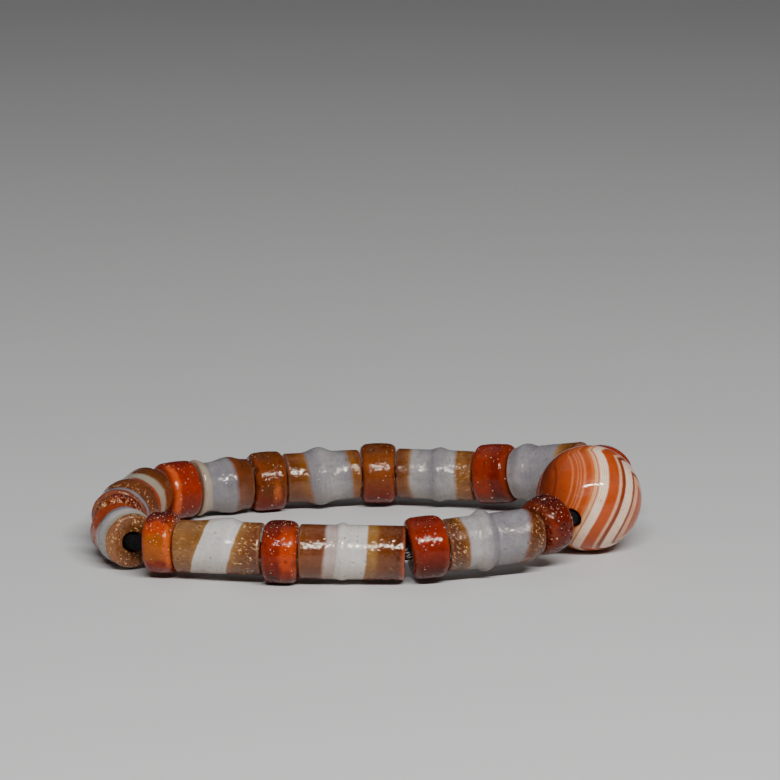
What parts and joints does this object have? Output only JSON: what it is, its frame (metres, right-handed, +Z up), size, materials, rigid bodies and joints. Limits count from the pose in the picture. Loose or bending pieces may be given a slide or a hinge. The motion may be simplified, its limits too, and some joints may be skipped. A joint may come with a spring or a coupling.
{
  "type": "bead bracelet",
  "caption": "Bracelet of old banded agate and carnelian beads with one large round eye bead, threaded on a black knitted cord and lying in an oval loop.",
  "frame": {"origin": "middle of the bracelet's box in plan, at the height of the table", "axes": "+X to the right along the loop's long way, +Y away from the picture's viewer, +Z up from the table"},
  "size_m": [0.0766, 0.0504, 0.0148],
  "materials": {
    "carnelian": "glossy translucent carnelian, orange to dark red, with fine pits",
    "banded_agate": "polished banded agate, tan to brown ends and a lavender white middle, scratched and pitted",
    "eye_agate": "polished agate with orange and white bands round an eye, with a chip",
    "cord": "black knitted cord with small grey stitches"
  },
  "bodies": {
    "root": {"rondelle_1": "carnelian", "rondelle_2": "carnelian", "rondelle_3": "carnelian", "rondelle_4": "carnelian", "rondelle_5": "carnelian", "rondelle_6": "carnelian", "rondelle_7": "carnelian", "rondelle_8": "carnelian", "rondelle_9": "carnelian", "rondelle_10": "carnelian", "bamboo_1": "banded_agate", "bamboo_2": "banded_agate", "bamboo_3": "banded_agate", "bamboo_4": "banded_agate", "bamboo_5": "banded_agate", "bamboo_6": "banded_agate", "bamboo_7": "banded_agate", "bamboo_8": "banded_agate", "bamboo_9": "banded_agate", "round_bead": "eye_agate", "cord": "cord"}
  },
  "joints": []
}
